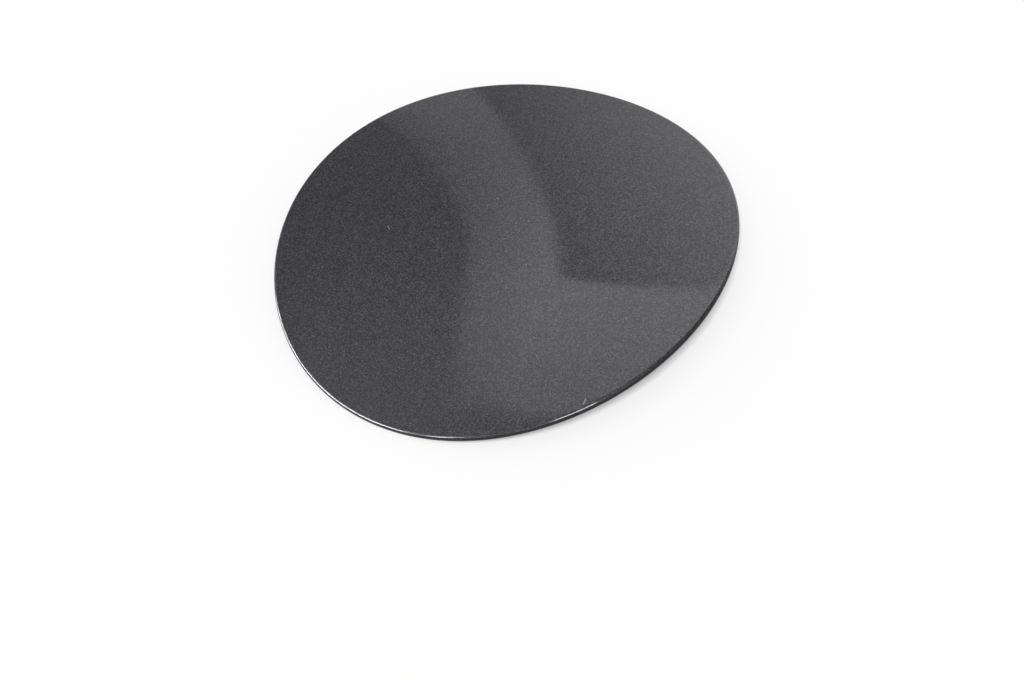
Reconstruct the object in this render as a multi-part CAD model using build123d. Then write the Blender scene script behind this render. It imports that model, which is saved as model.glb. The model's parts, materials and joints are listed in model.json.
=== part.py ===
"""Round fuel filler flap for a car body: one moulded panel, bent like the body side that it closes.

Millimetres. The flap lies face up on its rim: Z is up, the origin is under the middle of the face at the
height of the lowest points of the rim. The face bends across Y and is straight along X, so the rim touches
the table at both Y ends and stands clear of it at both X ends. The hinge is at the -X end and the lock at
the +X end.
"""

import os
from math import asin, cos, sqrt

from build123d import *

# Face and rim
face_diameter = 170.0
wall = 2.2
bend_radius = 395.0
rim_round = 1.2
rim_bevel = 0.6

# Stiffening ribs on the hidden side
rib_wall = 1.2
rib_height = 3.0
ring_rib_inset = 21.0
long_rib_spacing = 46.0
cross_rib_count = 3
cross_rib_spacing = 26.0
cross_rib_shift = 18.0

# Hinge seat: a walled frame with two screw bosses, all ending in one plane
seat_inset = 43.0
seat_length = 58.0
seat_width = 26.0
seat_corner = 5.0
seat_wall = 1.6
seat_drop = 5.6
screw_spacing = 36.0
screw_boss_diameter = 8.0
pilot_diameter = 2.8
pilot_roof = 2.8

# Lock eye: a plate across the ring rib with a window for the lock pin, braced by two gussets
eye_inset = 21.0
eye_plate = 3.0
eye_window_width = 12.0
eye_window_height = 4.6
eye_window_round = 1.2
eye_roof = 1.0
eye_bar = 2.4
eye_side = 3.0
gusset_wall = 1.6
gusset_length = 13.0

# The bevelled inner edge of the rim touches the table at both Y ends, which sets the height of the face
face_radius = face_diameter / 2
bevel = min(rim_bevel, 0.3 * wall)
rim_slope = asin(face_radius / (bend_radius - wall))
contact_reach = face_radius - bevel * cos(rim_slope)
face_top = bend_radius - sqrt((bend_radius - wall) ** 2 - contact_reach**2)
hidden_top = face_top - wall
seat_height = hidden_top - seat_drop
ring_rib_radius = face_radius - ring_rib_inset
seat_x = -(face_radius - seat_inset)
eye_x = face_radius - eye_inset


def height_below_face(y, depth):
    """Height of the surface that lies at a constant depth under the face."""
    return face_top - bend_radius + sqrt((bend_radius - depth) ** 2 - y**2)


def layer(top_depth, bottom_depth):
    """Bent slab between two depths under the face, reaching past the rim all round."""
    reach = 1.2 * face_radius
    arc_band = Circle(bend_radius - top_depth) - Circle(bend_radius - bottom_depth)
    strip = arc_band & Pos(0, bend_radius) * Rectangle(2 * reach, bend_radius)
    section = Plane((0, 0, face_top - bend_radius), x_dir=(0, 1, 0), z_dir=(1, 0, 0))
    return extrude(section * strip, reach, both=True)


def column(plan, bottom, top):
    """Upright prism of a plan shape between two heights."""
    return Pos(0, 0, bottom) * extrude(plan, top - bottom)


def broad_faces(disc):
    """The hidden side and the face of the skin, in that order."""
    return disc.faces().sort_by(SortBy.AREA)[-2:].sort_by(Axis.Z)


def skin():
    """The bent round wall, with the edge of its face rounded and its hidden edge bevelled."""
    disc = layer(0, wall) & column(Circle(face_radius), -face_top, 2 * face_top)
    face = broad_faces(disc)[-1]
    rounded = fillet(face.edges(), min(rim_round, 0.6 * wall))
    hidden = broad_faces(rounded)[0]
    return chamfer(hidden.edges(), bevel)


def seat_plan():
    """Outline of the hinge seat with rounded corners, seen from above."""
    return Pos(seat_x, 0) * RectangleRounded(seat_width, seat_length, seat_corner)


def screw_places():
    """The two screw positions, in line across the flap."""
    return [Pos(seat_x, side * screw_spacing / 2) for side in (-1, 1)]


def stiffening_ribs():
    """Ring rib and the ribs inside it, of one height under the skin, open at the hinge seat and the eye."""
    disc = Circle(ring_rib_radius)
    ring = Circle(ring_rib_radius + rib_wall / 2) - Circle(ring_rib_radius - rib_wall / 2)
    bars = Sketch()
    for side in (-1, 1):
        bars += Pos(0, side * long_rib_spacing / 2) * Rectangle(face_diameter, rib_wall)
    for index in range(cross_rib_count):
        x = cross_rib_shift + (index - (cross_rib_count - 1) / 2) * cross_rib_spacing
        bars += Pos(x, 0) * Rectangle(rib_wall, face_diameter)
    pin_way_length = face_radius - eye_x + eye_plate
    pin_way = Pos((eye_x + face_radius) / 2, 0) * Rectangle(pin_way_length, eye_window_width)
    plan = ring + (bars & disc) - seat_plan() - pin_way
    return layer(wall / 2, wall + rib_height) & column(plan, -face_top, 2 * face_top)


def hinge_seat():
    """Walled frame with two screw bosses joined by a web, cut off level for the foot of the hinge arm."""
    inside = Pos(seat_x, 0) * RectangleRounded(
        seat_width - 2 * seat_wall, seat_length - 2 * seat_wall, seat_corner - seat_wall
    )
    plan = seat_plan() - inside
    plan += Pos(seat_x, 0) * Rectangle(rib_wall, seat_length - seat_wall)
    for place in screw_places():
        plan += place * Circle(screw_boss_diameter / 2)
        plan += place * Rectangle(seat_width - seat_wall, rib_wall)
    below_skin = layer(wall / 2, wall + 2 * seat_drop)
    return below_skin & column(plan, seat_height, face_top)


def screw_pilots():
    """Blind pilot holes from the seat into the bosses, with some skin left above them."""
    top = height_below_face(screw_spacing / 2, 0) - pilot_roof
    holes = Part()
    for place in screw_places():
        holes += place * column(Circle(pilot_diameter / 2), seat_height - pilot_diameter, top)
    return holes


def lock_eye():
    """Plate with a window for the lock pin, and two gussets that brace it towards the middle."""
    window_top = hidden_top - eye_roof
    foot = window_top - eye_window_height - eye_bar
    width = eye_window_width + 2 * eye_side
    plate = column(Pos(eye_x, 0) * Rectangle(eye_plate, width), foot, face_top)
    eye_plane = Plane((eye_x, 0, window_top - eye_window_height / 2), x_dir=(0, 1, 0), z_dir=(1, 0, 0))
    corner = min(eye_window_round, eye_window_height / 3)
    window = eye_plane * RectangleRounded(eye_window_width, eye_window_height, corner)
    plate -= extrude(window, eye_plate, both=True)
    far_end = -gusset_length
    brace = Polygon((0, foot), (0, face_top), (far_end, face_top), (far_end, hidden_top), align=None)
    for side in (-1, 1):
        y = side * (width - gusset_wall) / 2
        plate += extrude(Plane.XZ.offset(-y) * Pos(eye_x, 0) * brace, gusset_wall / 2, both=True)
    return layer(wall / 2, wall + 2 * (hidden_top - foot)) & plate


def flap_panel():
    """The whole moulding."""
    return skin() + stiffening_ribs() + hinge_seat() + lock_eye() - screw_pilots()


os.makedirs("parts", exist_ok=True)
export_step(flap_panel(), "parts/flap_panel.step")
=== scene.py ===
"""Round fuel filler flap: a painted panel with its moulded back, lying face up in a white studio.

Metres, Z up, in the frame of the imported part. The face bends across Y and is straight along X. The hinge
seat is at the -X end of the hidden side and the lock eye at the +X end.
"""

import json
from typing import NamedTuple

import bpy
import numpy as np
from bpy.props import FloatProperty, FloatVectorProperty, IntProperty, PointerProperty
from mathutils import Matrix, Vector


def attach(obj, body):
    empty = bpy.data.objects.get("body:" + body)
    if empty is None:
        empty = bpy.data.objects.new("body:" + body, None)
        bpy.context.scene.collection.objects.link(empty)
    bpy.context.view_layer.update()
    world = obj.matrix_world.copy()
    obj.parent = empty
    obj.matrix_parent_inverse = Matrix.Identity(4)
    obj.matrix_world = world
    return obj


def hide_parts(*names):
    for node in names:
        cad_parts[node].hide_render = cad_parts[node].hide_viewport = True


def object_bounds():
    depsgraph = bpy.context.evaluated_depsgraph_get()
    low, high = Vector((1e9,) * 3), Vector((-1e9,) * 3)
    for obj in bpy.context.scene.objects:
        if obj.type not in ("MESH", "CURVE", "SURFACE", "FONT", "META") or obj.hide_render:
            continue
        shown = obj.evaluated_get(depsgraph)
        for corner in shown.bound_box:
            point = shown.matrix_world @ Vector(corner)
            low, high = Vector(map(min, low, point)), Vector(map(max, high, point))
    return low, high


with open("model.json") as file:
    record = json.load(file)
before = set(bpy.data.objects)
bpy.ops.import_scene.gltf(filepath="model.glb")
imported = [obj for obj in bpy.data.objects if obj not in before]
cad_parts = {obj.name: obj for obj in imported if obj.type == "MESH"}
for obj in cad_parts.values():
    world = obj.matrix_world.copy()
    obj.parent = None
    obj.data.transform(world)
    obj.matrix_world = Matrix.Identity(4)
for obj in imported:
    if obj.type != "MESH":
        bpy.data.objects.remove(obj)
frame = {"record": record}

bl_info = {
    "name": "Fuel filler flap",
    "version": (1, 0, 0),
    "blender": (4, 5, 0),
    "location": "3D View > Sidebar > Flap",
    "description": "Builds a painted fuel filler flap with its moulded back, and a white studio for it",
    "category": "Object",
}

cad_low, cad_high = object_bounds()
mounts = {mount["name"]: mount for mount in frame["record"]["mounts"]}
hinge_screws = mounts["hinge_screws"]
MM = 0.001
FACE_TOP = cad_high.z
SEAT_HEIGHT = hinge_screws["pos_m"][2]


def length(name, description, default):
    """A length in metres that a user can set."""
    return FloatProperty(
        name=name, description=description, default=default, min=0.0, unit="LENGTH", precision=5
    )


def share(name, description, default, highest=1.0):
    """A plain number from nought up that a user can set."""
    return FloatProperty(
        name=name, description=description, default=default, min=0.0, max=highest, precision=3
    )


def colour(name, description, red, green, blue):
    """A linear colour that a user can set."""
    return FloatVectorProperty(
        name=name,
        description=description,
        default=(red, green, blue),
        size=3,
        min=0.0,
        max=1.0,
        subtype="COLOR",
    )


class FlapSizes(bpy.types.PropertyGroup):
    """Sizes of the moulding."""

    face_diameter: length("Face diameter", "Across the round face", cad_high.x - cad_low.x)
    wall: length("Wall", "Thickness of the skin", 2.2 * MM)
    bend_radius: length("Bend radius", "Radius that the face is bent to across Y", 395 * MM)
    rim_round: length("Rim round", "Radius between the face and the rim wall", 1.2 * MM)
    rim_bevel: length("Rim bevel", "Width of the broken edge under the rim wall", 0.6 * MM)
    edge_break: length("Edge break", "Radius of the small edges", 0.25 * MM)
    root_fillet: length("Root fillet", "Radius where a rib meets the skin", 0.4 * MM)
    sunk: length("Sunk", "How far a rib's root reaches into the skin", 0.6 * MM)
    rib_wall: length("Rib wall", "Thickness of the stiffening ribs", 1.2 * MM)
    rib_height: length("Rib height", "Height of the stiffening ribs", 3.0 * MM)
    ring_rib_inset: length("Ring rib inset", "From the rim to the middle of the ring rib", 21 * MM)
    long_rib_spacing: length("Long rib spacing", "Between the two ribs along X", 46 * MM)
    cross_rib_count: IntProperty(name="Cross ribs", description="Number of ribs along Y", default=3, min=1)
    cross_rib_spacing: length("Cross rib spacing", "Between the ribs along Y", 26 * MM)
    cross_rib_shift: length("Cross rib shift", "Of the middle rib towards the lock eye", 18 * MM)
    seat_inset: length("Seat inset", "From the rim to the middle of the hinge seat", 43 * MM)
    seat_length: length("Seat length", "Of the hinge seat along Y", 58 * MM)
    seat_width: length("Seat width", "Of the hinge seat along X", 26 * MM)
    seat_corner: length("Seat corner", "Radius of the hinge seat's corners", 5 * MM)
    seat_wall: length("Seat wall", "Thickness of the hinge seat's frame", 1.6 * MM)
    screw_spacing: length(
        "Screw spacing", "Between the two screws", hinge_screws["dims"]["spacing_y_mm"] * MM
    )
    boss_diameter: length("Boss diameter", "Of the screw bosses", 8 * MM)
    pilot_diameter: length("Pilot diameter", "Of the screw holes", 2 * hinge_screws["dims"]["hole_r_mm"] * MM)
    pilot_roof: length("Pilot roof", "Left above a screw hole, up to the face", 2.8 * MM)
    eye_inset: length("Eye inset", "From the rim to the middle of the lock eye's plate", 21 * MM)
    eye_plate: length("Eye plate", "Thickness of the lock eye's plate", 3 * MM)
    eye_window_width: length("Window width", "Of the lock eye's window", 12 * MM)
    eye_window_height: length("Window height", "Of the lock eye's window", 4.6 * MM)
    eye_window_round: length("Window round", "Radius of the window's corners", 1.2 * MM)
    eye_roof: length("Eye roof", "Between the window and the skin", 1 * MM)
    eye_bar: length("Eye bar", "Under the window", 2.4 * MM)
    eye_side: length("Eye side", "Beside the window", 3 * MM)
    gusset_wall: length("Gusset wall", "Thickness of the two gussets", 1.6 * MM)
    gusset_length: length("Gusset length", "From the plate towards the middle", 13 * MM)


class FlapPaint(bpy.types.PropertyGroup):
    """Colours and grain of the paint and of the bare moulding."""

    base_coat: colour("Base coat", "Dark grey between the flakes", 0.038, 0.0375, 0.041)
    flake: colour("Flake", "The brightest metal flakes", 0.140, 0.138, 0.155)
    flake_size: length("Flake size", "Across one patch of flakes", 0.3 * MM)
    flake_tilt: share("Flake tilt", "How far the flakes lean out of the surface", 0.25)
    metal: share("Metal", "Share of metal in the base coat", 0.6)
    base_roughness: share("Base roughness", "Roughness of the base coat under the lacquer", 0.45)
    lacquer_roughness: share("Lacquer roughness", "Roughness of the clear lacquer", 0.03)
    peel: length("Peel", "Width of the faint waves in the lacquer", 5 * MM)
    # The same dark bare colour is painted shade on the lower rim, besides being the colour of the bare
    # moulding.
    bare: colour("Bare plastic", "The moulding where no paint reaches", 0.016, 0.016, 0.017)
    bare_roughness: share("Bare roughness", "Roughness of the bare moulding", 0.55)
    overspray: length("Overspray", "How far the paint mist reaches under the rim", 11 * MM)
    mist: share("Mist", "Share of paint mist on the hidden side next to the rim", 0.5)
    mark: colour("Mark", "Bare scratches and specks of dust on the lacquer", 0.32, 0.32, 0.33)


class FlapStudio(bpy.types.PropertyGroup):
    """Floor, light and the boards that the face mirrors."""

    floor: share("Floor", "Paleness of the floor", 0.97)
    floor_white: share("Floor white", "Share of plain white in what the eye sees of the floor", 0.3)
    sky: share("Sky", "Level of the light from all round", 0.32)
    front_light: share("Front light", "Level of the light from the lamp in front", 0.7)
    window: share("Window", "Brightness of the windows in the gloss", 16.0, highest=50.0)
    room: share("Room", "Level of the dim room behind the camera in the gloss", 0.02)


def surface_height(sizes, y, depth):
    """Height of the surface at a depth under the face.

    The face is bent about a line along X, one bend radius under its top. A surface at a depth is bent about
    the same line: height = line + square root of ((bend radius - depth) squared - y squared).
    """
    line = FACE_TOP - sizes.bend_radius
    return line + np.sqrt((sizes.bend_radius - depth) ** 2 - np.square(y))


def smooth_step(value):
    """Eases from 0 to 1: three times the square less twice the cube of the clipped value."""
    clipped = np.clip(value, 0.0, 1.0)
    return clipped**2 * (3.0 - 2.0 * clipped)


def eased(start, end, value):
    """Eased step of a value from 0 at the start to 1 at the end."""
    return smooth_step((value - start) / (end - start))


def grid_quads(rows, columns, wrap_rows, wrap_columns):
    """Corner numbers of a grid's quads. A wrapped direction joins its last line to its first."""
    row = np.arange(rows if wrap_rows else rows - 1)[:, None]
    column = np.arange(columns if wrap_columns else columns - 1)[None, :]
    next_row = (row + 1) % rows
    next_column = (column + 1) % columns
    corners = np.broadcast_arrays(
        row * columns + column,
        row * columns + next_column,
        next_row * columns + next_column,
        next_row * columns + column,
    )
    return np.stack(corners, axis=-1).reshape(-1, 4).tolist()


def turned_shell(first_pole, grid, last_pole):
    """Closed shell of a grid of (turns, stations) points that runs from one pole to another."""
    turns, stations = grid.shape[:2]
    points = np.concatenate([grid.reshape(-1, 3), [first_pole, last_pole]])
    near = np.arange(turns) * stations
    far = near + stations - 1
    first_fan = np.stack([np.full(turns, turns * stations), near, np.roll(near, -1)], axis=1)
    last_fan = np.stack([far, np.full(turns, turns * stations + 1), np.roll(far, -1)], axis=1)
    quads = grid_quads(turns, stations, wrap_rows=True, wrap_columns=False)
    return points, quads + first_fan.tolist() + last_fan.tolist()


def joined(shells):
    """Several closed shells as one list of points and one list of faces."""
    counts = np.cumsum([0] + [len(points) for points, faces in shells])
    points = np.concatenate([points for points, faces in shells])
    faces = []
    for first, (_, part) in zip(counts, shells):
        faces += [[first + corner for corner in face] for face in part]
    return points, faces


def add_piece(name, shell, material):
    """Puts a shell into a smooth mesh that rides on the part and stands for its moulding."""
    points, faces = shell
    mesh = bpy.data.meshes.new(name)
    mesh.from_pydata(points.tolist(), [], faces)
    mesh.polygons.foreach_set("use_smooth", np.ones(len(faces), dtype=bool))
    if mesh.validate():
        raise RuntimeError(f"the mesh of {name} was not sound")
    mesh.materials.append(material)
    piece = bpy.data.objects.new(name, mesh)
    bpy.context.scene.collection.objects.link(piece)
    normals = piece.modifiers.new("even_normals", "WEIGHTED_NORMAL")
    normals.weight = 100
    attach(piece, "root")
    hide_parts("flap_panel")
    return piece


def rolled_edge(sizes, turn, ball, depth, side, steps):
    """Rounded edge between the rim wall and a broad side, as (turns, steps + 1) points.

    A ball rolls round inside the rim with its centre at a depth under the face and its side against the rim
    wall. The edge is centre + ball radius * direction, where the direction swings evenly from the broad
    side's normal to the outward one.
    """
    radius = sizes.face_diameter / 2 - ball
    bend = sizes.bend_radius - depth
    x = radius * np.cos(turn)
    y = radius * np.sin(turn)
    centre = np.stack([x, y, surface_height(sizes, y, depth)], axis=-1)
    broad = side * np.stack([np.zeros_like(y), y / bend, np.sqrt(bend**2 - y**2) / bend], axis=-1)
    outward = np.stack([np.cos(turn), np.sin(turn), np.zeros_like(y)], axis=-1)
    swing = np.arccos((broad * outward).sum(axis=-1))[:, None, None]
    part = np.linspace(0.0, 1.0, steps + 1)[None, :, None]
    direction = np.sin((1 - part) * swing) * broad[:, None] + np.sin(part * swing) * outward[:, None]
    return centre[:, None] + ball * direction / np.sin(swing)


def broad_side(sizes, edge, depth, shares):
    """Points of a broad side at a depth under the face, at shares of the way from its middle to an edge."""
    plan = shares[None, :, None] * edge[:, None, :2]
    return np.concatenate([plan, surface_height(sizes, plan[..., 1:], depth)], axis=-1)


SKIN_TURNS = 480
SKIN_STATIONS = 50
# Where the paint thins out and where it ends round the rim. The dark bare rim below is painted shade for the
# rim's shaded underside, as well as bare moulding.
RIM_SHADE_STARTS = 0.5
RIM_SHADE_FULL = 0.74


class FLAP_OT_painted_skin(bpy.types.Operator):
    """Build the bent round skin: face, rolled rim, rim wall and hidden side"""

    bl_idname = "flap.painted_skin"
    bl_label = "Painted skin"

    def execute(self, context):
        """Stations run from the middle of the face out over the rim and back in under the hidden side.

        The paint covers the face and ends part of the way round the rim. The dark bare moulding below it is
        painted shade for the shaded lower rim, as well as bare plastic. Mist of the paint reaches a little
        way in on the hidden side.
        """
        sizes = context.scene.flap_sizes
        paint = context.scene.flap_paint
        turn = np.linspace(0.0, 2 * np.pi, SKIN_TURNS, endpoint=False)
        top_edge = rolled_edge(sizes, turn, sizes.rim_round, sizes.rim_round, side=1, steps=12)
        low_depth = sizes.wall - sizes.rim_bevel
        low_edge = rolled_edge(sizes, turn, sizes.rim_bevel, low_depth, side=-1, steps=6)[:, ::-1]
        shares = np.linspace(0.0, 1.0, SKIN_STATIONS + 1)[1:-1]
        face = broad_side(sizes, top_edge[:, 0], 0.0, shares)
        hidden = broad_side(sizes, low_edge[:, -1], sizes.wall, shares[::-1])
        grid = np.concatenate([face, top_edge, low_edge, hidden], axis=1)
        middle = np.array([0.0, 0.0, FACE_TOP])
        shell = turned_shell(middle, grid, middle - np.array([0.0, 0.0, sizes.wall]))
        piece = add_piece("painted_skin", shell, paint_material(paint, sizes))
        from_rim = sizes.face_diameter / 2 * (1.0 - shares[::-1])
        from_face = np.linspace(0.0, 1.0, top_edge.shape[1])
        # Per station: 1 on the face, falling to 0 round the rim where the dark bare band is painted shade, 0
        # on the lower edge, and real paint mist on the hidden side.
        cover_and_rim_shade = np.concatenate([
            np.ones(len(shares)),
            1.0 - eased(RIM_SHADE_STARTS, RIM_SHADE_FULL, from_face),
            np.zeros(low_edge.shape[1]),
            paint.mist * (1.0 - smooth_step(from_rim / paint.overspray)),
        ])
        cover_and_rim_shade = np.broadcast_to(cover_and_rim_shade, grid.shape[:2])
        attribute = piece.data.attributes.new("paint_cover", "FLOAT", "POINT")
        attribute.data.foreach_set("value", np.concatenate([cover_and_rim_shade.ravel(), [1.0, 0.0]]))
        return {"FINISHED"}


def straight_path(start, end, stations):
    """Even steps along a straight line, with the normal to its left."""
    start = np.array(start)
    along = np.array(end) - start
    normal = np.array([-along[1], along[0]]) / np.hypot(*along)
    points = start + np.linspace(0.0, 1.0, stations)[:, None] * along
    return points, np.broadcast_to(normal, points.shape), False


def arc_path(radius, start, end, stations):
    """Even steps along an arc about the middle of the flap, with the normal to its left, inwards."""
    turn = np.linspace(start, end, stations)
    outward = np.stack([np.cos(turn), np.sin(turn)], axis=-1)
    return radius * outward, -outward, False


def rounded_loop(width, depth, corner, arc_steps, side_steps):
    """Rounded rectangle about the origin as one closed loop, with outward normals.

    Each quarter is a corner's arc, then even steps along the side that follows it.
    """
    points = []
    normals = []
    for quarter in range(4):
        turn = (quarter + np.linspace(0.0, 1.0, arc_steps + 1)) * np.pi / 2
        outward = np.stack([np.cos(turn), np.sin(turn)], axis=-1)
        middle = np.array([width / 2 - corner, depth / 2 - corner])
        middle = middle * np.sign([np.cos(turn.mean()), np.sin(turn.mean())])
        next_middle = middle * (np.array([-1, 1]) if quarter % 2 == 0 else np.array([1, -1]))
        arc = middle + corner * outward
        step = np.linspace(0.0, 1.0, side_steps + 1)[1:-1, None]
        points += [arc, arc[-1] + step * (next_middle - middle)]
        normals += [outward, np.broadcast_to(outward[-1], (side_steps - 1, 2))]
    return np.concatenate(points), np.concatenate(normals)


def rib_section(sizes, thickness):
    """Outline of a rib's section: offset across the rib, lift, and whether the lift counts from the skin.

    It goes up the right side and down the left: a rounded foot edge, the flank, a hollow fillet at the root
    and a top that is sunk in the skin.
    """
    quarter = np.linspace(0.0, np.pi / 2, 5)
    foot_offset = thickness / 2 - sizes.edge_break * (1 - np.sin(quarter))
    foot_lift = sizes.edge_break * (1 - np.cos(quarter))
    root_offset = thickness / 2 + sizes.root_fillet * (1 - np.cos(quarter))
    root_lift = -sizes.root_fillet * (1 - np.sin(quarter))
    right_offset = np.concatenate([foot_offset, root_offset, root_offset[-1:]])
    right_lift = np.concatenate([foot_lift, root_lift, [sizes.sunk]])
    from_skin = np.arange(len(right_lift)) >= len(quarter)
    offset = np.concatenate([right_offset, -right_offset[::-1]])
    lift = np.concatenate([right_lift, right_lift[::-1]])
    return offset, lift, np.concatenate([from_skin, from_skin[::-1]])


def wall_shell(sizes, path, thickness, foot):
    """Rib, frame or gusset: its section carried along a path in plan.

    Each point lies at path + offset * normal. Its height is the foot's there plus its lift, or the hidden
    side's plus its lift where the section counts from the skin.
    """
    points, normals, closed = path
    offset, lift, from_skin = rib_section(sizes, thickness)
    plan = points[:, None] + offset[None, :, None] * normals[:, None]
    foot_height = foot(plan[..., 0], plan[..., 1])
    high = surface_height(sizes, plan[..., 1], sizes.wall) + lift
    height = np.where(from_skin, np.maximum(high, foot_height + sizes.edge_break), foot_height + lift)
    grid = np.concatenate([plan, height[..., None]], axis=-1)
    rows, columns = grid.shape[:2]
    faces = grid_quads(rows, columns, wrap_rows=closed, wrap_columns=True)
    if not closed:
        last = (rows - 1) * columns
        faces.append(list(range(columns))[::-1])
        faces.append(list(range(last, last + columns)))
    return grid.reshape(-1, 3), faces


class FLAP_OT_stiffening_ribs(bpy.types.Operator):
    """Build the ring rib and the ribs along and across inside it"""

    bl_idname = "flap.stiffening_ribs"
    bl_label = "Stiffening ribs"

    def execute(self, context):
        """Every rib ends inside the wall that it meets."""
        sizes = context.scene.flap_sizes
        material = bare_material(context.scene.flap_paint)
        radius = sizes.face_diameter / 2 - sizes.ring_rib_inset
        post_middle = (sizes.eye_window_width + sizes.eye_side) / 2
        gap = np.arcsin(post_middle / radius)

        def foot(x, y):
            return surface_height(sizes, y, sizes.wall + sizes.rib_height)

        def rib(path):
            return wall_shell(sizes, path, sizes.rib_wall, foot)

        ring = rib(arc_path(radius, gap, 2 * np.pi - gap, 289))
        add_piece("ring_rib", ring, material)
        seat_x = sizes.seat_inset - sizes.face_diameter / 2
        seat_half = (sizes.seat_width - sizes.seat_wall) / 2
        bars = []
        for side in (-1, 1):
            y = side * sizes.long_rib_spacing / 2
            reach = np.sqrt(radius**2 - y**2)
            bars.append(rib(straight_path((-reach, y), (seat_x - seat_half, y), 3)))
            bars.append(rib(straight_path((seat_x + seat_half, y), (reach, y), 25)))
        for index in range(sizes.cross_rib_count):
            x = sizes.cross_rib_shift + (index - (sizes.cross_rib_count - 1) / 2) * sizes.cross_rib_spacing
            reach = np.sqrt(radius**2 - x**2)
            bars.append(rib(straight_path((x, -reach), (x, reach), 49)))
        add_piece("grid_ribs", joined(bars), material)
        return {"FINISHED"}


def boss_shell(sizes, x, y):
    """Screw boss turned about its axis, with a blind hole.

    The outline runs from the sunk top out and down the root fillet and the side, over the rounded foot edge
    and the bevelled mouth, and up the hole to its roof. Each turn is centre + radius * direction.
    """
    radius = sizes.boss_diameter / 2
    hole = sizes.pilot_diameter / 2
    bevel = sizes.edge_break
    roof = surface_height(sizes, y, 0.0) - sizes.pilot_roof
    quarter = np.linspace(0.0, np.pi / 2, 5)
    root_radius = radius + sizes.root_fillet * (1 - np.sin(quarter))
    root_lift = -sizes.root_fillet * (1 - np.cos(quarter))
    foot_radius = radius - sizes.edge_break * (1 - np.cos(quarter))
    foot_height = SEAT_HEIGHT + sizes.edge_break * (1 - np.sin(quarter))
    low_radius = np.concatenate([foot_radius, [hole + bevel, hole, hole]])
    low_height = np.concatenate([foot_height, [SEAT_HEIGHT, SEAT_HEIGHT + bevel, roof]])
    turn = np.linspace(0.0, 2 * np.pi, 48, endpoint=False)
    outward = np.stack([np.cos(turn), np.sin(turn)], axis=-1)[:, None]
    radii = np.concatenate([root_radius[:1], root_radius, low_radius])
    plan = np.array([x, y]) + radii[None, :, None] * outward
    lift = np.concatenate([[sizes.sunk], root_lift])
    high = surface_height(sizes, plan[:, :len(lift), 1], sizes.wall) + lift
    height = np.concatenate([high, np.broadcast_to(low_height, (len(turn), len(low_height)))], axis=1)
    grid = np.concatenate([plan, height[..., None]], axis=-1)
    top = np.array([x, y, surface_height(sizes, y, sizes.wall) + sizes.sunk])
    return turned_shell(top, grid, np.array([x, y, roof]))


class FLAP_OT_hinge_seat(bpy.types.Operator):
    """Build the hinge seat: its frame, its webs and the two screw bosses"""

    bl_idname = "flap.hinge_seat"
    bl_label = "Hinge seat"

    def execute(self, context):
        """Frame, webs and bosses all end in the plane that the hinge arm is screwed to."""
        sizes = context.scene.flap_sizes
        material = bare_material(context.scene.flap_paint)
        seat_x = sizes.seat_inset - sizes.face_diameter / 2
        half_wall = sizes.seat_wall / 2
        width = sizes.seat_width - sizes.seat_wall
        depth = sizes.seat_length - sizes.seat_wall

        def foot(x, y):
            return np.full_like(x, SEAT_HEIGHT)

        corner = sizes.seat_corner - half_wall
        points, outward = rounded_loop(width, depth, corner, arc_steps=10, side_steps=24)
        loop = (points + np.array([seat_x, 0.0]), -outward, True)
        add_piece("hinge_seat_frame", wall_shell(sizes, loop, sizes.seat_wall, foot), material)
        places = [side * sizes.screw_spacing / 2 for side in (-1, 1)]
        hole_edge = (sizes.pilot_diameter + sizes.boss_diameter) / 4
        webs = []
        for start, end in (
            (-depth / 2, places[0] - hole_edge),
            (places[0] + hole_edge, places[1] - hole_edge),
            (places[1] + hole_edge, depth / 2),
        ):
            webs.append(straight_path((seat_x, start), (seat_x, end), 13))
        for y in places:
            webs.append(straight_path((seat_x - width / 2, y), (seat_x - hole_edge, y), 3))
            webs.append(straight_path((seat_x + hole_edge, y), (seat_x + width / 2, y), 3))
        shells = [wall_shell(sizes, web, sizes.rib_wall, foot) for web in webs]
        add_piece("hinge_seat_webs", joined(shells), material)
        bosses = joined([boss_shell(sizes, seat_x, y) for y in places])
        add_piece("screw_bosses", bosses, material)
        return {"FINISHED"}


def eye_shell(sizes, x, foot, window_top):
    """Plate with a window: loops stacked round the window, over both faces and round the outside.

    Every loop is a rounded rectangle in the plane of Y and Z. Loops near an edge follow a quarter circle, so
    the window's edges and the outer edges are broken by the same small radius.
    """
    bevel = sizes.edge_break
    top = surface_height(sizes, 0.0, sizes.wall) + sizes.sunk
    width = sizes.eye_window_width + 2 * sizes.eye_side
    half = sizes.eye_plate / 2
    quarter = np.linspace(0.0, np.pi / 2, 4)
    grow = bevel * (1 - np.sin(quarter))
    across = half - bevel * (1 - np.cos(quarter))
    window_grow = np.concatenate([grow[::-1], grow])
    window_across = np.concatenate([-across[::-1], across])
    loops = []
    for extra, offset in zip(window_grow, window_across):
        plan, _ = rounded_loop(
            sizes.eye_window_width + 2 * extra,
            sizes.eye_window_height + 2 * extra,
            sizes.eye_window_round + extra,
            arc_steps=8,
            side_steps=2,
        )
        loops.append((plan + np.array([0.0, window_top - sizes.eye_window_height / 2]), offset))
    for extra, offset in zip(window_grow[::-1], window_across[::-1]):
        plan, _ = rounded_loop(
            width - 2 * extra, top - foot - 2 * extra, 2 * bevel, arc_steps=8, side_steps=2
        )
        loops.append((plan + np.array([0.0, (top + foot) / 2]), offset))
    rings = [np.insert(plan, 0, x + offset, axis=1) for plan, offset in loops]
    grid = np.stack(rings, axis=1)
    rows, columns = grid.shape[:2]
    return grid.reshape(-1, 3), grid_quads(rows, columns, wrap_rows=True, wrap_columns=True)


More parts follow.
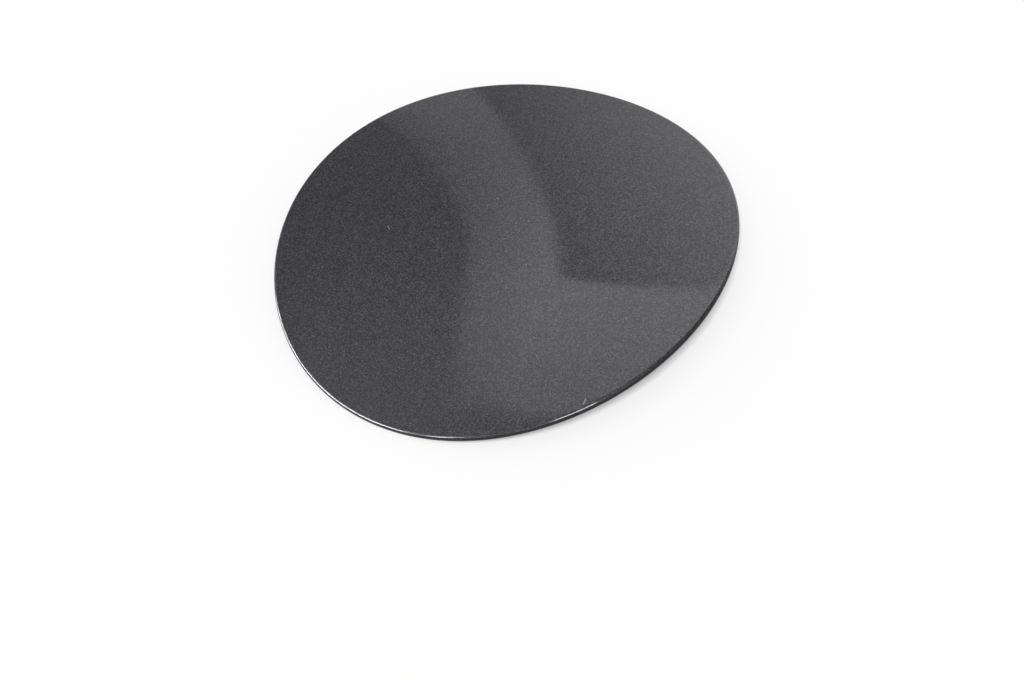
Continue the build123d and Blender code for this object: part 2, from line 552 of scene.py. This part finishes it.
class FLAP_OT_lock_eye(bpy.types.Operator):
    """Build the eye for the lock pin and its two gussets"""

    bl_idname = "flap.lock_eye"
    bl_label = "Lock eye"

    def execute(self, context):
        """The gussets slope from the foot of the plate up to the skin."""
        sizes = context.scene.flap_sizes
        material = bare_material(context.scene.flap_paint)
        x = sizes.face_diameter / 2 - sizes.eye_inset
        hidden_top = FACE_TOP - sizes.wall
        window_top = hidden_top - sizes.eye_roof
        foot = window_top - sizes.eye_window_height - sizes.eye_bar
        slope = (hidden_top - foot) / sizes.gusset_length

        def gusset_foot(along, across):
            return foot + slope * (x - along)

        width = sizes.eye_window_width + 2 * sizes.eye_side
        gussets = []
        for side in (-1, 1):
            y = side * (width - sizes.gusset_wall) / 2
            path = straight_path((x - sizes.gusset_length, y), (x, y), 14)
            gussets.append(wall_shell(sizes, path, sizes.gusset_wall, gusset_foot))
        add_piece("lock_eye_plate", eye_shell(sizes, x, foot, window_top), material)
        add_piece("lock_eye_gussets", joined(gussets), material)
        return {"FINISHED"}


class Finish:
    """Adds and joins the nodes of one material, or of the sky."""

    def __init__(self, owner):
        self.material = bpy.data.materials.new(owner) if isinstance(owner, str) else owner
        self.material.use_nodes = True
        self.tree = self.material.node_tree
        self.shader = self.tree.nodes.get("Principled BSDF")
        self.output = self.tree.nodes.get("Material Output")

    def add(self, kind, settings=None, **sockets):
        """A node of a kind, with its settings and with each named socket joined or set."""
        node = self.tree.nodes.new("ShaderNode" + kind)
        for name, value in (settings or {}).items():
            setattr(node, name, value)
        for name, value in sockets.items():
            self.fill(node, int(name[1:]) if name[:1] == "_" else name.replace("_", " "), value)
        return node

    def fill(self, node, socket, value):
        """Joins a socket to another node's output, or sets its value."""
        if isinstance(value, bpy.types.NodeSocket):
            self.tree.links.new(value, node.inputs[socket])
        else:
            node.inputs[socket].default_value = value

    def math(self, operation, *values):
        """Result of a sum on numbers."""
        node = self.add("Math", {"operation": operation})
        for index, value in enumerate(values):
            self.fill(node, index, value)
        return node.outputs[0]

    def vector(self, operation, *values, output=0):
        """Result of a sum on vectors. Output 1 is the number that a length or a dot product gives."""
        node = self.add("VectorMath", {"operation": operation})
        for index, value in enumerate(values):
            self.fill(node, "Scale" if operation == "SCALE" and index == 1 else index, value)
        return node.outputs[output]

    def mix(self, factor, first, second):
        """Blend of two colours. A mix node's colours go in at 6 and 7 and come out at 2."""
        node = self.add("Mix", {"data_type": "RGBA"})
        self.fill(node, 0, factor)
        self.fill(node, 6, first)
        self.fill(node, 7, second)
        return node.outputs[2]

    def ramp(self, value, start, end):
        """Eased step from 0 at the start to 1 at the end."""
        settings = {"interpolation_type": "SMOOTHSTEP"}
        return self.add("MapRange", settings, Value=value, From_Min=start, From_Max=end).outputs[0]

    def between(self, value, low, high):
        """Number that goes evenly from low to high as the value goes from 0 to 1."""
        return self.add("MapRange", Value=value, To_Min=low, To_Max=high).outputs[0]


def opaque(rgb):
    """A colour with its alpha."""
    return (*rgb, 1.0)


def mark_mask(finish, place, start, end, width):
    """Mask of a scratch or a speck: the distance from a line between two points, eased over its width.

    The nearest point of the line is start + share * (end - start), with the share clipped to 0 and 1.
    """
    along = Vector(end) - Vector(start)
    offset = finish.vector("SUBTRACT", place, tuple(start))
    part = finish.vector("DOT_PRODUCT", offset, tuple(along / along.length_squared), output=1)
    part = finish.math("MINIMUM", finish.math("MAXIMUM", part, 0.0), 1.0)
    nearest = finish.vector("SCALE", tuple(along), part)
    distance = finish.vector("LENGTH", finish.vector("SUBTRACT", offset, nearest), output=1)
    return finish.ramp(distance, width / 2, width / 4)


class Mark(NamedTuple):
    """A scratch or a speck on the face, between two places in plan."""

    start: tuple
    end: tuple
    width: float


MARKS = (
    Mark((0.0685, -0.0470), (0.0681, -0.0450), 0.42 * MM),
    Mark((-0.0386, -0.0178), (-0.0369, -0.0187), 0.34 * MM),
    Mark((-0.0099, 0.0119), (-0.0094, 0.0122), 0.34 * MM),
)

MIST_SCALE = 1500.0
GRAIN_SCALE = 2500.0
CLOUD_SCALE = 60.0
LACQUER_IOR = 1.55


def paint_material(paint, sizes):
    """Metallic base coat under clear lacquer, with bare plastic and paint mist where the paint runs out. On
    the lower rim the dark bare plastic is also painted shade for the shaded underside of the rim edge.

    Each patch of flakes has its own lean and its own brightness. The lacquer over it is smooth but for
    faint waves.
    """
    finish = Finish("metallic_paint")
    place = finish.add("TexCoord").outputs["Object"]
    flakes = finish.add("TexVoronoi", {"feature": "F1"}, Vector=place, Scale=1.0 / paint.flake_size)
    lean = finish.vector("SUBTRACT", flakes.outputs["Color"], (0.5, 0.5, 0.5))
    lean = finish.vector("SCALE", lean, paint.flake_tilt)
    normal = finish.add("NewGeometry").outputs["Normal"]
    flake_normal = finish.vector("NORMALIZE", finish.vector("ADD", normal, lean))
    bright = finish.add("SeparateColor", Color=flakes.outputs["Color"]).outputs["Red"]
    coat = finish.mix(finish.math("POWER", bright, 2.5), opaque(paint.base_coat), opaque(paint.flake))

    # Where the paint falls off round the rim, the dark bare colour and the loss of lacquer are painted shade
    # for the rim's shaded underside. On the hidden side the mist is real overspray.
    cover_and_rim_shade = finish.add("Attribute", {"attribute_name": "paint_cover"}).outputs["Fac"]
    mist = finish.add("TexNoise", Vector=place, Scale=MIST_SCALE, Detail=2.0).outputs["Fac"]
    paint_vs_shade = finish.ramp(finish.math("ADD", cover_and_rim_shade, finish.math("MULTIPLY", mist, 0.5)), 0.45, 1.1)
    colour_all = finish.mix(paint_vs_shade, opaque(paint.bare), coat)
    marks = None
    for mark in MARKS:
        start, end = ((x, y, surface_height(sizes, y, 0.0)) for x, y in (mark.start, mark.end))
        mask = mark_mask(finish, place, start, end, mark.width)
        marks = mask if marks is None else finish.math("MAXIMUM", marks, mask)
    colour_all = finish.mix(marks, colour_all, opaque(paint.mark))

    waves = finish.add("TexNoise", Vector=place, Scale=1.0 / paint.peel, Detail=1.0).outputs["Fac"]
    peel = finish.add("Bump", Strength=0.02, Distance=0.0002, Height=waves).outputs[0]
    shader = finish.shader
    finish.fill(shader, "Base Color", colour_all)
    finish.fill(shader, "Normal", flake_normal)
    finish.fill(shader, "Metallic", finish.math("MULTIPLY", paint_vs_shade, paint.metal))
    rough = finish.between(paint_vs_shade, paint.bare_roughness, paint.base_roughness)
    finish.fill(shader, "Roughness", rough)
    finish.fill(shader, "Specular IOR Level", 0.2)
    finish.fill(shader, "Coat Weight", finish.ramp(cover_and_rim_shade, 0.2, 0.9))
    finish.fill(shader, "Coat Roughness", paint.lacquer_roughness)
    finish.fill(shader, "Coat IOR", LACQUER_IOR)
    finish.fill(shader, "Coat Normal", peel)
    return finish.material


def bare_material(paint):
    """Bare moulded plastic of the hidden side: dark, with a fine eroded grain and slightly uneven shine."""
    name = "bare_moulding"
    if name in bpy.data.materials:
        return bpy.data.materials[name]
    finish = Finish(name)
    place = finish.add("TexCoord").outputs["Object"]
    grain = finish.add("TexNoise", Vector=place, Scale=GRAIN_SCALE, Detail=3.0).outputs["Fac"]
    cloud = finish.add("TexNoise", Vector=place, Scale=CLOUD_SCALE, Detail=3.0).outputs["Fac"]
    bump = finish.add("Bump", Strength=0.25, Distance=0.0001, Height=grain).outputs[0]
    darker = tuple(0.8 * part for part in paint.bare)
    finish.fill(finish.shader, "Base Color", finish.mix(cloud, opaque(darker), opaque(paint.bare)))
    spread = 0.08
    rough = finish.between(cloud, paint.bare_roughness - spread, paint.bare_roughness + spread)
    finish.fill(finish.shader, "Roughness", rough)
    finish.fill(finish.shader, "Normal", bump)
    return finish.material


CAMERA_PLACE = Vector((0.24476, -0.22638, 0.35736))
CAMERA_YAW = np.radians(48.298)
CAMERA_PITCH = np.radians(50.819)
CAMERA_ROLL = np.radians(-15.469)
CAMERA_SPAN = np.radians(42.0)


def studio_way(heading, elevation):
    """Unit steps at elevations, and at headings to the right of straight away from the camera, in degrees."""
    turn = CAMERA_YAW - np.radians(heading)
    lift = np.radians(elevation)
    level = np.cos(lift)
    return np.stack(np.broadcast_arrays(-np.sin(turn) * level, np.cos(turn) * level, np.sin(lift)), axis=-1)


def add_camera():
    """Camera at the photograph's place: it looks along its yaw, down by its pitch, and is then rolled."""
    forward = Vector(studio_way(0.0, -np.degrees(CAMERA_PITCH)))
    level = Vector((np.cos(CAMERA_YAW), np.sin(CAMERA_YAW), 0.0))
    lifted = level.cross(forward)
    right = level * np.cos(CAMERA_ROLL) + lifted * np.sin(CAMERA_ROLL)
    up = right.cross(forward)
    data = bpy.data.cameras.new("camera")
    data.sensor_fit = "HORIZONTAL"
    data.angle = CAMERA_SPAN
    data.clip_start = 0.01
    camera = bpy.data.objects.new("camera", data)
    turn = Matrix((right, up, -forward)).transposed()
    camera.matrix_world = Matrix.Translation(CAMERA_PLACE) @ turn.to_4x4()
    bpy.context.scene.collection.objects.link(camera)
    bpy.context.scene.camera = camera


def stage_object(name, points, faces, material):
    """A mesh that belongs to the studio and not to the flap."""
    mesh = bpy.data.meshes.new(name)
    mesh.from_pydata(np.asarray(points).tolist(), [], faces)
    mesh.materials.append(material)
    piece = bpy.data.objects.new(name, mesh)
    bpy.context.scene.collection.objects.link(piece)
    return piece


def seen_rays(finish):
    """1 for rays from the eye, from gloss and through glass, and 0 for the rays that only carry light."""
    rays = finish.add("LightPath").outputs
    seen = finish.math("MAXIMUM", rays["Is Camera Ray"], rays["Is Glossy Ray"])
    return finish.math("MAXIMUM", seen, rays["Is Transmission Ray"])


def floor_material(studio):
    """White floor that keeps the shadow. Part of what the eye sees of it is plain white."""
    finish = Finish("studio_floor")
    level = studio.floor
    finish.fill(finish.shader, "Base Color", (level, level, level, 1.0))
    finish.fill(finish.shader, "Roughness", 0.9)
    finish.fill(finish.shader, "Specular IOR Level", 0.0)
    glow = finish.add("Emission").outputs[0]
    white = finish.math("MULTIPLY", seen_rays(finish), studio.floor_white)
    blend = finish.add("MixShader", _0=white, _1=finish.shader.outputs[0], _2=glow)
    finish.fill(finish.output, "Surface", blend.outputs[0])
    finish.material.cycles.emission_sampling = "NONE"
    return finish.material


def add_floor(studio):
    """Wide flat floor that the rim touches."""
    reach = 30.0
    corners = [(-reach, -reach, 0.0), (reach, -reach, 0.0), (reach, reach, 0.0), (-reach, reach, 0.0)]
    stage_object("studio_floor", corners, [[0, 1, 2, 3]], floor_material(studio))


def add_sky(studio):
    """Even white light from all round, white to the eye and in every mirror."""
    world = bpy.data.worlds.new("studio_sky")
    world.use_nodes = True
    bpy.context.scene.world = world
    finish = Finish(world)
    background = finish.tree.nodes["Background"]
    finish.fill(background, "Color", (1.0, 1.0, 1.0, 1.0))
    finish.fill(background, "Strength", finish.between(seen_rays(finish), studio.sky, 1.0))


def card_material():
    """Card that glows at the level of each of its points."""
    name = "studio_card"
    if name in bpy.data.materials:
        return bpy.data.materials[name]
    finish = Finish(name)
    level = finish.add("Attribute", {"attribute_name": "card_level"}).outputs["Fac"]
    glow = finish.add("Emission", Strength=level).outputs[0]
    finish.tree.nodes.remove(finish.shader)
    finish.fill(finish.output, "Surface", glow)
    finish.material.cycles.emission_sampling = "NONE"
    return finish.material


def add_card(name, grid, level):
    """Card through a grid of points that shows only in the gloss of the flap."""
    rows, columns = grid.shape[:2]
    faces = grid_quads(rows, columns, wrap_rows=False, wrap_columns=False)
    card = stage_object(name, grid.reshape(-1, 3), faces, card_material())
    attribute = card.data.attributes.new("card_level", "FLOAT", "POINT")
    attribute.data.foreach_set("value", np.broadcast_to(level, (rows, columns)).ravel())
    card.visible_camera = False
    card.visible_diffuse = False
    card.visible_transmission = False
    card.visible_shadow = False


WALL_DISTANCE = 1.0
WALL_ELEVATION = 48.0


def wall_points(across, up):
    """Points of the plane that faces the flap, from places across to the right and up from its middle."""
    facing = studio_way(0.0, WALL_ELEVATION)
    side = np.cross(facing, (0.0, 0.0, 1.0))
    side = side / np.hypot(side[0], side[1])
    rise = np.cross(side, facing)
    return WALL_DISTANCE * facing + across[..., None] * side + up[..., None] * rise


def centred(distance, softness):
    """Eased step across an edge, half done at the edge itself."""
    return smooth_step(distance / softness + 0.5)


def blended(first, second, part):
    """First value where the part is 0, second value where it is 1."""
    return first + (second - first) * part


EDGE_SOFTNESS = 0.025


def dark_board_edge(up):
    """Right edge of the dark board: upright below, leaning to the left above.

    Its place is - lean * bend * log(1 + exp((up - knee) / bend)), a line that turns softly at the knee. Under
    its foot it swings a little to the left.
    """
    lean, bend, knee = 0.83, 0.05, -0.03
    foot, foot_lean = -0.21, 0.5
    return -lean * bend * np.log1p(np.exp((up - knee) / bend)) - foot_lean * np.maximum(foot - up, 0.0)


def dark_board_level(across, up):
    """Level of the dark board: brighter upwards and dimmer far out to the left."""
    lowest, gain, left_loss = 0.04, 0.46, 0.4
    far_left = np.minimum(across + 0.25, 0.0)
    return np.maximum(lowest + gain * eased(-0.1, 0.4, up) + left_loss * far_left, 0.0)


def pale_wall_level(up, past_edge):
    """Level of the pale wall: brightest a little over its middle, and dimmer next to the dark board."""
    lowest, gain, loss = 0.48, 0.84, 0.32
    pale = lowest + gain * eased(-0.28, 0.12, up) - loss * eased(0.14, 0.42, up)
    near_edge = blended(0.45, 0.7, eased(-0.2, 0.3, up))
    return pale * blended(near_edge, 1.0, eased(0.0, 0.12, past_edge))


def grey_board_part(across, up):
    """1 on the grey board, which lies right of a parabola and under a flat arch.

    The parabola is side - reach * ((up - foot) / height) squared, and upright under its foot. The arch is
    crown - droop * (across - middle) squared.
    """
    side, reach, foot, height = 0.159, 0.101, -0.34, 0.38
    crown, droop, middle, arch_softness = 0.076, 1.1, 0.1, 0.02
    side_edge = side - reach * np.square(np.maximum(up - foot, 0.0) / height)
    arch = crown - droop * np.square(across - middle)
    return centred(across - side_edge, EDGE_SOFTNESS) * centred(arch - up, arch_softness)


def grey_board_level(across, up):
    """Level of the grey board: it rises evenly to the right and upwards."""
    middle_level, right_gain, up_gain = 0.04, 2.55, 1.15
    return np.clip(middle_level + right_gain * across + up_gain * up, 0.05, 1.1)


def wall_level(across, up):
    """Level of the wall that the face mirrors: pale, with a grey board, a dark board and a dim ceiling.

    The ceiling starts above a line that rises to the right, and gets dark further up.
    """
    dark_edge = dark_board_edge(up)
    level = pale_wall_level(up, across - dark_edge)
    level = blended(level, grey_board_level(across, up), grey_board_part(across, up))
    level = blended(level, dark_board_level(across, up), centred(dark_edge - across, EDGE_SOFTNESS))
    ceiling_start, ceiling_rise, ceiling_softness = 0.415, 0.16, 0.06
    over_edge = up - (ceiling_start + ceiling_rise * across)
    ceiling_level = blended(0.4, 0.02, eased(0.45, 0.75, up))
    return blended(level, ceiling_level, centred(over_edge, ceiling_softness))


class Window(NamedTuple):
    """A window between two headings and two elevations in degrees, with its strength at both headings."""

    name: str
    headings: tuple
    elevations: tuple
    strengths: tuple


WINDOWS = (
    Window("side_window", headings=(-122.0, -53.0), elevations=(9.0, 21.0), strengths=(2.6, 1.3)),
    Window("slit_window", headings=(-133.0, -125.0), elevations=(14.0, 46.0), strengths=(1.0, 1.0)),
    Window("front_window", headings=(169.0, 193.0), elevations=(36.0, 58.0), strengths=(1.0, 1.0)),
)
WINDOW_DISTANCE = 0.95
ROOM_DISTANCE = 6.0
ROOM_HEADINGS = (75.0, 285.0)
ROOM_ELEVATIONS = (0.5, 89.5)
ROUND_STEPS = np.linspace(0.0, 1.0, 41)


def round_points(headings, elevations, distance):
    """Grid of points at one distance, between two headings and two elevations in degrees."""
    heading = blended(*headings, ROUND_STEPS[:, None])
    elevation = blended(*elevations, ROUND_STEPS[None, :])
    return distance * studio_way(heading, elevation)


def soft_window():
    """Share of a window's level over its grid: full in its lower middle, nought at its sides and its top."""
    beside = ROUND_STEPS[:, None]
    up = ROUND_STEPS[None, :]
    side_fade, top_fade = 0.12, 0.4
    sides = eased(0.0, side_fade, beside) * eased(1.0, 1.0 - side_fade, beside)
    return sides * eased(1.0, 1.0 - top_fade, up)


def add_cards(studio):
    """The wall ahead, the dim room behind the camera and the windows that the rim mirrors."""
    across = np.linspace(-1.4, 1.4, 281)[:, None]
    up = np.linspace(-0.55, 1.0, 156)[None, :]
    across, up = np.broadcast_arrays(across, up)
    add_card("mirrored_wall", wall_points(across, up), wall_level(across, up))
    add_card("dim_room", round_points(ROOM_HEADINGS, ROOM_ELEVATIONS, ROOM_DISTANCE), studio.room)
    for window in WINDOWS:
        points = round_points(window.headings, window.elevations, WINDOW_DISTANCE)
        strength = blended(*window.strengths, ROUND_STEPS[:, None])
        add_card(window.name, points, strength * studio.window * soft_window())


def add_lamp(name, heading, elevation, spread, light):
    """Far lamp that lights the floor evenly to a level, against a white of 1. Angles are in degrees."""
    data = bpy.data.lights.new(name, "SUN")
    data.energy = light * np.pi / np.sin(np.radians(elevation))
    data.angle = np.radians(spread)
    lamp = bpy.data.objects.new(name, data)
    way = Vector(studio_way(heading, elevation))
    lamp.location = way
    lamp.rotation_mode = "QUATERNION"
    lamp.rotation_quaternion = way.to_track_quat("Z", "Y")
    lamp.visible_camera = False
    lamp.visible_glossy = False
    bpy.context.scene.collection.objects.link(lamp)


class FLAP_OT_studio(bpy.types.Operator):
    """Set up the camera, the floor, the sky, the boards and windows, and the lamp"""

    bl_idname = "flap.studio"
    bl_label = "Studio"

    def execute(self, context):
        """White floor and sky, a wall for the face to mirror, windows for the rim, and a lamp in front."""
        studio = context.scene.flap_studio
        context.scene.view_settings.view_transform = "Standard"
        add_camera()
        add_floor(studio)
        add_sky(studio)
        add_cards(studio)
        add_lamp("front_lamp", heading=-172.0, elevation=62.0, spread=22.0, light=studio.front_light)
        return {"FINISHED"}


OPERATORS = (
    FLAP_OT_painted_skin,
    FLAP_OT_stiffening_ribs,
    FLAP_OT_hinge_seat,
    FLAP_OT_lock_eye,
    FLAP_OT_studio,
)


class FLAP_PT_builder(bpy.types.Panel):
    """Lists the steps that build the flap and its studio, with their sizes and colours"""

    bl_idname = "FLAP_PT_builder"
    bl_label = "Fuel filler flap"
    bl_space_type = "VIEW_3D"
    bl_region_type = "UI"
    bl_category = "Flap"

    def draw(self, context):
        """One button for each step, then every property."""
        for operator in OPERATORS:
            self.layout.operator(operator.bl_idname)
        for group in (context.scene.flap_sizes, context.scene.flap_paint, context.scene.flap_studio):
            box = self.layout.box()
            for name in group.__annotations__:
                box.prop(group, name)


GROUPS = {"flap_sizes": FlapSizes, "flap_paint": FlapPaint, "flap_studio": FlapStudio}


def register():
    """Adds the classes to Blender and the properties to every scene."""
    for group in GROUPS.values():
        bpy.utils.register_class(group)
    for name, group in GROUPS.items():
        setattr(bpy.types.Scene, name, PointerProperty(type=group))
    for kind in (*OPERATORS, FLAP_PT_builder):
        bpy.utils.register_class(kind)


def unregister():
    """Takes the classes and the properties away again."""
    for kind in (FLAP_PT_builder, *reversed(OPERATORS)):
        bpy.utils.unregister_class(kind)
    for name in GROUPS:
        delattr(bpy.types.Scene, name)
    for group in reversed(GROUPS.values()):
        bpy.utils.unregister_class(group)


def main():
    """Builds every piece and the studio."""
    register()
    bpy.ops.flap.painted_skin()
    bpy.ops.flap.stiffening_ribs()
    bpy.ops.flap.hinge_seat()
    bpy.ops.flap.lock_eye()
    bpy.ops.flap.studio()


if __name__ == "__main__":
    main()
